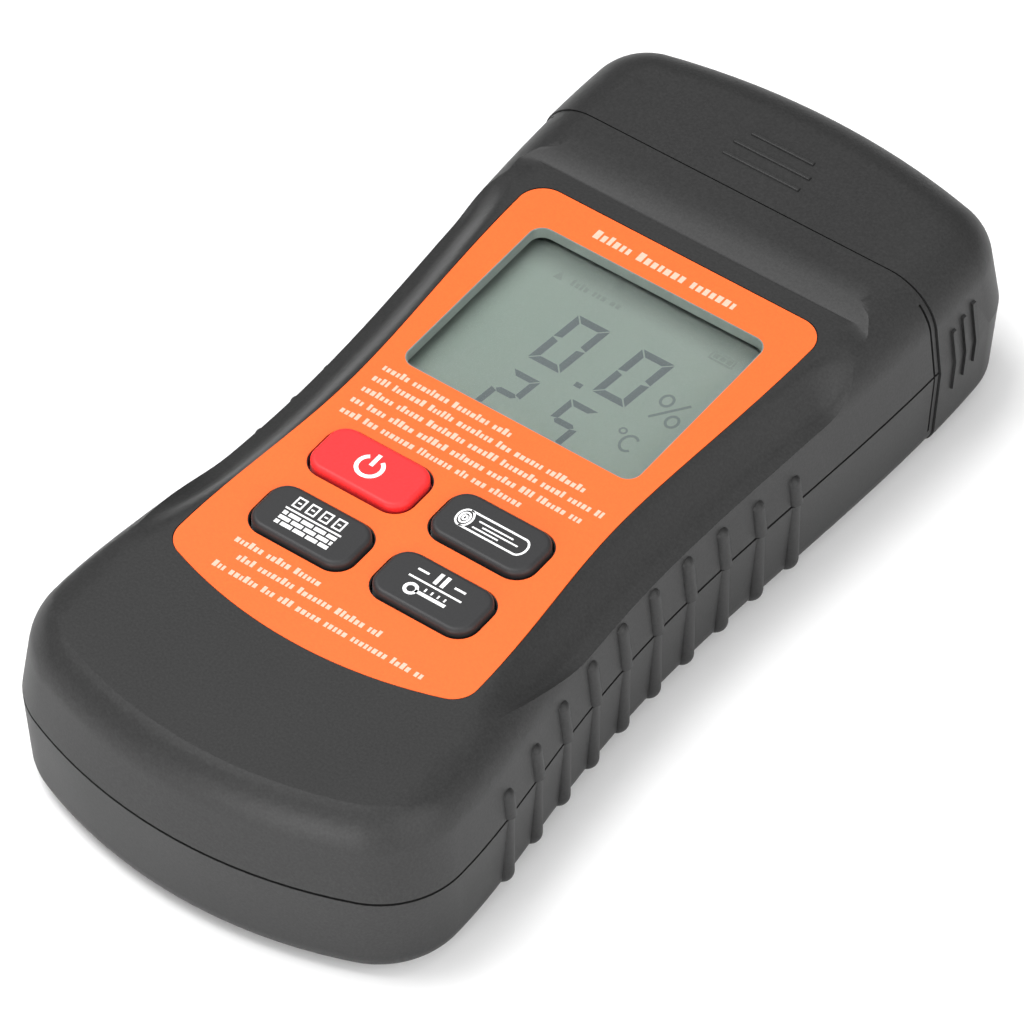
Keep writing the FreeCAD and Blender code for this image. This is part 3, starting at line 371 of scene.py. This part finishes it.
# ---------------------------------------------------------------- flat printed marks
class Marks:
    """Collects thin flat shapes, given in millimetres, at one level."""

    def __init__(self, name, level, thick=PRINT_THICK):
        self.name = name
        self.level = level
        self.thick = thick
        self.mesh = bmesh.new()

    def prism(self, points):
        """Thin closed prism on a convex or simple outline of (x, y) in millimetres, anticlockwise."""
        low = [self.mesh.verts.new((x * MM, y * MM, self.level)) for x, y in points]
        high = [self.mesh.verts.new((x * MM, y * MM, self.level + self.thick)) for x, y in points]
        self.mesh.faces.new(high)
        self.mesh.faces.new(list(reversed(low)))
        for index in range(len(points)):
            follow = (index + 1) % len(points)
            self.mesh.faces.new((low[index], low[follow], high[follow], high[index]))

    def bar(self, start, end, width):
        """Straight stroke between two points."""
        along = Vector(end) - Vector(start)
        across = Vector((-along.y, along.x)).normalized() * width / 2
        start, end = Vector(start), Vector(end)
        self.prism([tuple(start - across), tuple(end - across), tuple(end + across), tuple(start + across)])

    def arc(self, centre, radii, width, first, last, steps=28):
        """Stroke along an elliptical arc, in degrees."""
        for step in range(steps):
            corners = []
            for side, moment in ((-0.5, step), (-0.5, step + 1), (0.5, step + 1), (0.5, step)):
                angle = math.radians(first + (last - first) * moment / steps)
                corners.append((centre[0] + (radii[0] + side * width) * math.cos(angle),
                                centre[1] + (radii[1] + side * width) * math.sin(angle)))
            self.prism(corners if last < first else list(reversed(corners)))

    def box(self, low, high):
        self.prism([(low[0], low[1]), (high[0], low[1]), (high[0], high[1]), (low[0], high[1])])

    def frame(self, low, high, width):
        """Rectangle outline."""
        self.box(low, (high[0], low[1] + width))
        self.box((low[0], high[1] - width), high)
        self.box((low[0], low[1] + width), (low[0] + width, high[1] - width))
        self.box((high[0] - width, low[1] + width), (high[0], high[1] - width))

    def piece(self, material, body, slot):
        """Turns the shapes into one mesh object that rides on a body."""
        data = bpy.data.meshes.new(self.name)
        bmesh.ops.remove_doubles(self.mesh, verts=self.mesh.verts, dist=1e-7)
        bmesh.ops.recalc_face_normals(self.mesh, faces=self.mesh.faces)
        self.mesh.to_mesh(data)
        self.mesh.free()
        data.materials.append(material)
        made = add_object(self.name, data)
        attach(made, body)
        return made


def mock_words(marks, x_low, x_high, y_mid, height, rng):
    """Row of small solid blocks, grouped like words, that stands for a line of print."""
    across = x_low
    base = y_mid - 0.4 * height
    while across < x_high - height:
        for _ in range(rng.randint(3, 8)):
            wide = height * rng.uniform(0.26, 0.46)
            if across + wide > x_high:
                break
            tall = height * rng.choice((0.55, 0.6, 0.6, 0.8))
            marks.box((across, base), (across + wide, base + tall))
            across += wide + 0.17 * height
        across += 0.42 * height


def label_print():
    """Title line, material list and lower notes on the label, as mock print."""
    rng = random.Random(11)
    marks = Marks("label_print", LABEL_TOP)
    mock_words(marks, -12.0, 12.0, 35.6, TITLE_HEIGHT, rng)
    for x_high, y_mid in UPPER_NOTES:
        mock_words(marks, NOTE_LEFT, x_high, y_mid, NOTE_HEIGHT, rng)
    for x_low, x_high, y_mid in LOWER_NOTES:
        mock_words(marks, x_low, x_high, y_mid, NOTE_HEIGHT, rng)
    marks.piece(PINK_INK, "root", "label_film")


def key_mark(key):
    """Empty mark set on top of a key, with the key's centre in millimetres."""
    low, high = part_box(key)
    centre = ((low.x + high.x) / 2 / MM, (low.y + high.y) / 2 / MM)
    return Marks(key + "_legend", high.z), centre


def power_legend():
    """Broken ring with an upright bar."""
    marks, (x, y) = key_mark("power_key")
    marks.arc((x, y - 0.1), (1.85, 1.85), 0.62, 125, 415)
    marks.bar((x, y + 0.1), (x, y + 2.4), 0.62)
    marks.piece(WHITE_INK, "power_key", "key_rubber_red")


def wood_legend():
    """Log seen from the side, with the rings on its sawn end."""
    marks, (x, y) = key_mark("wood_key")
    for radius in (1.55, 0.95, 0.40):
        marks.arc((x - 4.4, y), (radius * 0.72, radius), 0.30, 0, 360)
    marks.bar((x - 4.4, y + 1.55), (x + 4.6, y + 1.55), 0.32)
    marks.bar((x - 4.4, y - 1.55), (x + 4.6, y - 1.55), 0.32)
    marks.arc((x + 4.6, y), (1.12, 1.55), 0.32, -90, 90)
    for start, end, rise in ((-2.4, 3.2, 0.55), (-1.4, 4.4, -0.15), (-2.6, 1.6, -0.80)):
        marks.bar((x + start, y + rise), (x + end, y + rise), 0.26)
    marks.piece(WHITE_INK, "wood_key", "key_rubber_black")


def masonry_legend():
    """Sheets of paper over a wall, parted by a line."""
    marks, (x, y) = key_mark("masonry_key")
    for number in range(4):
        left = x - 4.2 + 2.2 * number
        marks.frame((left, y + 1.0), (left + 1.55, y + 3.0), 0.26)
        marks.box((left + 0.5, y + 1.85), (left + 1.05, y + 2.1))
    marks.box((x - 4.6, y + 0.25), (x + 4.6, y + 0.55))
    for row in range(3):
        base = y - 0.75 - 0.95 * row
        shift = 0.0 if row % 2 else 1.1
        for number in range(5):
            left = max(x - 4.4, x - 4.4 - shift + 2.1 * number)
            right = min(x + 4.4, x - 4.4 - shift + 2.1 * number + 1.8)
            if right > left:
                marks.box((left, base), (right, base + 0.65))
    marks.piece(WHITE_INK, "masonry_key", "key_rubber_black")


def hold_legend():
    """Pause bars over a thermometer, parted by a line."""
    marks, (x, y) = key_mark("hold_key")
    for side in (-1, 1):
        marks.box((x + 0.55 * side - 0.3, y + 0.95), (x + 0.55 * side + 0.3, y + 3.05))
        marks.box((x + 3.0 * side - 0.9, y + 1.8), (x + 3.0 * side + 0.9, y + 2.15))
    marks.box((x - 4.3, y + 0.25), (x + 4.3, y + 0.55))
    marks.arc((x - 2.6, y - 1.5), (0.85, 0.85), 0.5, 0, 360)
    marks.bar((x - 1.9, y - 1.5), (x + 3.0, y - 1.5), 0.55)
    for number in range(4):
        marks.box((x - 0.9 + number * 1.05, y - 0.95), (x - 0.65 + number * 1.05, y - 0.35))
    marks.piece(WHITE_INK, "hold_key", "key_rubber_black")


# ---------------------------------------------------------------- display content
SEGMENTS = {"0": "abcdef", "2": "abged", "5": "afgcd"}


def level_segment(name, wide, tall, stroke):
    """Outline of the top, bottom or middle segment, anticlockwise."""
    half = stroke / 2
    inner = stroke + SEGMENT_GAP
    outer = SEGMENT_GAP
    if name == "a":
        return [(inner, tall - stroke), (wide - inner, tall - stroke), (wide - outer, tall), (outer, tall)]
    if name == "d":
        return [(outer, 0.0), (wide - outer, 0.0), (wide - inner, stroke), (inner, stroke)]
    tip = half + SEGMENT_GAP
    middle = tall / 2
    return [(tip, middle), (inner, middle - half), (wide - inner, middle - half),
            (wide - tip, middle), (wide - inner, middle + half), (inner, middle + half)]


def upright_segment(name, wide, tall, stroke):
    """Outline of a left or right segment, anticlockwise, mitred where it meets the top or bottom."""
    middle = tall / 2
    low, high = (middle, tall) if name in "bf" else (0.0, middle)
    outer, inner = (wide, wide - stroke) if name in "bc" else (0.0, stroke)
    low_edge = low + SEGMENT_GAP if low == 0.0 else low + 0.6 * SEGMENT_GAP
    high_edge = high - SEGMENT_GAP if high == tall else high - 0.6 * SEGMENT_GAP
    low_in = low_edge + (stroke if low == 0.0 else 0.3 * stroke)
    high_in = high_edge - (stroke if high == tall else 0.3 * stroke)
    outline = [(outer, low_edge), (outer, high_edge), (inner, high_in), (inner, low_in)]
    if outer == 0.0:
        outline.reverse()
    return outline


def seven_segment(marks, digit, left, base, wide, tall, stroke):
    """Slanted seven-segment digit with slightly parted segments."""
    for name in SEGMENTS[digit]:
        outline_of = level_segment if name in "adg" else upright_segment
        outline = outline_of(name, wide, tall, stroke)
        marks.prism([(left + x + DIGIT_SLANT * y, base + y) for x, y in outline])


def degree_sign(marks, x, y, radius, stroke):
    marks.arc((x, y), (radius, radius), stroke, 0, 360, 16)


def unit_c(marks, x, y, half_wide, half_tall, stroke):
    marks.arc((x, y), (half_wide, half_tall), stroke, 45, 315, 18)


def percent_sign(marks, x, y, size, stroke):
    marks.arc((x - 0.26 * size, y + 0.26 * size), (0.16 * size, 0.20 * size), stroke, 0, 360, 16)
    marks.arc((x + 0.26 * size, y - 0.26 * size), (0.16 * size, 0.20 * size), stroke, 0, 360, 16)
    marks.bar((x - 0.34 * size, y - 0.46 * size), (x + 0.34 * size, y + 0.46 * size), stroke)


def display_content():
    """Reading, temperature and faint status marks on the LCD."""
    marks = Marks("lcd_digits", GLASS_TOP)
    seven_segment(marks, "0", -7.2, 13.2, 5.4, 10.5, 1.15)
    seven_segment(marks, "0", 3.6, 13.2, 5.4, 10.5, 1.15)
    marks.box((1.0, 12.5), (2.1, 13.4))
    seven_segment(marks, "2", -8.3, 1.6, 4.6, 8.8, 1.0)
    seven_segment(marks, "5", 1.4, 1.6, 4.6, 8.8, 1.0)
    marks.piece(SEGMENT_INK, "root", "display_glass")

    units = Marks("lcd_units", GLASS_TOP)
    percent_sign(units, 14.4, 16.3, 5.4, 0.42)
    degree_sign(units, 11.4, 9.7, 0.5, 0.30)
    unit_c(units, 13.4, 8.2, 1.15, 1.5, 0.42)
    units.piece(UNIT_INK, "root", "display_glass")

    faint = Marks("lcd_status", GLASS_TOP)
    faint.frame((12.6, 27.6), (16.6, 29.4), 0.3)
    for number in range(3):
        faint.box((13.1 + 1.1 * number, 28.1), (13.9 + 1.1 * number, 28.9))
    faint.prism([(-13.4, 27.6), (-12.0, 27.6), (-12.7, 29.4)])
    rng = random.Random(4)
    mock_words(faint, -10.6, -2.0, 28.3, 1.5, rng)
    faint.piece(FAINT_INK, "root", "display_glass")


def rounded_loop(inset, steps=8):
    """Outline of the window drawn in by an inset, as (x, y) points in metres, anticlockwise."""
    radius = WINDOW_ROUND - inset
    points = []
    corners = ((WINDOW_HALF, WINDOW_HEAD, 0), (-WINDOW_HALF, WINDOW_HEAD, 90),
               (-WINDOW_HALF, WINDOW_TAIL, 180), (WINDOW_HALF, WINDOW_TAIL, 270))
    middle = (WINDOW_TAIL + WINDOW_HEAD) / 2
    for x, y, start in corners:
        hub_x = math.copysign(abs(x) - WINDOW_ROUND, x)
        hub_y = y - WINDOW_ROUND if y > middle else y + WINDOW_ROUND
        for step in range(steps + 1):
            angle = math.radians(start + 90.0 * step / steps)
            points.append((hub_x + radius * math.cos(angle), hub_y + radius * math.sin(angle)))
    return points


def window_liner():
    """Thin grey-green ring that lines the wall of the display window, coloured like the LCD so that it
    stands as painted shade along the window's edge.
    """
    mesh = bmesh.new()
    low = lens_high.z + 0.01 * MM
    high = LABEL_TOP - 0.03 * MM
    rings = []
    for inset, level in ((LINER_GAP, low), (LINER_GAP, high), (LINER_INSIDE, high), (LINER_INSIDE, low)):
        rings.append([mesh.verts.new((x, y, level)) for x, y in rounded_loop(inset)])
    for number, ring in enumerate(rings):
        after = rings[(number + 1) % len(rings)]
        for index in range(len(ring)):
            follow = (index + 1) % len(ring)
            mesh.faces.new((ring[index], ring[follow], after[follow], after[index]))
    bmesh.ops.recalc_face_normals(mesh, faces=mesh.faces)
    data = bpy.data.meshes.new("window_liner")
    mesh.to_mesh(data)
    mesh.free()
    # painted shade: the liner takes the LCD's grey-green so the window's wall reads as the soft shade at the
    # display's edge, not as dark plastic
    data.materials.append(smooth_plastic("window_liner_painted_shade_look", (0.20, 0.24, 0.215), 0.5))
    made = add_object("window_liner", data)
    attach(made, "root")


# ---------------------------------------------------------------- stage, lights and camera
def floor():
    """Flat pale floor under the meter."""
    data = bpy.data.meshes.new("floor")
    corners = [(-FLOOR_HALF, -FLOOR_HALF, 0), (FLOOR_HALF, -FLOOR_HALF, 0),
               (FLOOR_HALF, FLOOR_HALF, 0), (-FLOOR_HALF, FLOOR_HALF, 0)]
    data.from_pydata(corners, [], [(0, 1, 2, 3)])
    data.materials.append(pale_floor("floor_look"))
    made = add_object("floor", data)
    made.location.z = -FLOOR_DROP


def direction(azimuth, elevation):
    """Unit vector from the meter towards an azimuth, turned from -Y towards +X, and an elevation."""
    turn, rise = math.radians(azimuth), math.radians(elevation)
    return Vector((math.sin(turn) * math.cos(rise), -math.cos(turn) * math.cos(rise), math.sin(rise)))


def area_light(name, azimuth, elevation, distance, size, power):
    """Square soft light aimed at the middle of the meter."""
    back = direction(azimuth, elevation)
    data = bpy.data.lights.new(name, "AREA")
    data.shape = "SQUARE"
    data.size = size
    data.energy = power
    made = add_object(name, data)
    made.location = back * distance
    made.rotation_euler = (-back).to_track_quat("-Z", "Y").to_euler()


def sky(world):
    """Grey room that is bright overhead and dim towards the walls."""
    tree = world.node_tree
    place = tree.nodes.new("ShaderNodeTexCoord")
    part = tree.nodes.new("ShaderNodeSeparateXYZ")
    tree.links.new(place.outputs["Generated"], part.inputs["Vector"])
    glow = tree.nodes.new("ShaderNodeValToRGB")
    for element, (height, grey) in zip(glow.color_ramp.elements, ((0.25, 0.22), (0.95, 1.0))):
        element.position = height
        element.color = (grey, grey, grey, 1.0)
    tree.links.new(part.outputs["Z"], glow.inputs["Fac"])
    background = tree.nodes["Background"]
    tree.links.new(glow.outputs["Color"], background.inputs["Color"])
    background.inputs["Strength"].default_value = 0.8


def studio():
    """Grey room, a light from above and lower ones on the right side and the near end."""
    world = bpy.data.worlds.new("studio")
    world.use_nodes = True
    sky(world)
    bpy.context.scene.world = world
    area_light("top", -70.0, 68.0, 1.0, 0.6, 9.0)
    area_light("right", 80.0, 22.0, 1.0, 1.1, 9.0)
    area_light("near", 5.0, 8.0, 0.9, 0.5, 6.5)
    bpy.context.scene.view_settings.view_transform = "Standard"


def camera():
    """Long lens looking down on the tail and the right side."""
    back = direction(36.29, 47.32)
    distance = 1.175
    target = Vector((0.00963, -0.01326, 0.0296))
    data = bpy.data.cameras.new("camera")
    data.sensor_width = 36.0
    data.lens = 309.4
    data.clip_start = 0.05
    data.clip_end = 20.0
    made = add_object("camera", data)
    made.location = target + back * distance
    made.rotation_euler = (-back).to_track_quat("-Z", "Y").to_euler()
    bpy.context.scene.camera = made


finish_cad_nodes()
label_print()
power_legend()
wood_legend()
masonry_legend()
hold_legend()
display_content()
window_liner()
floor()
studio()
camera()
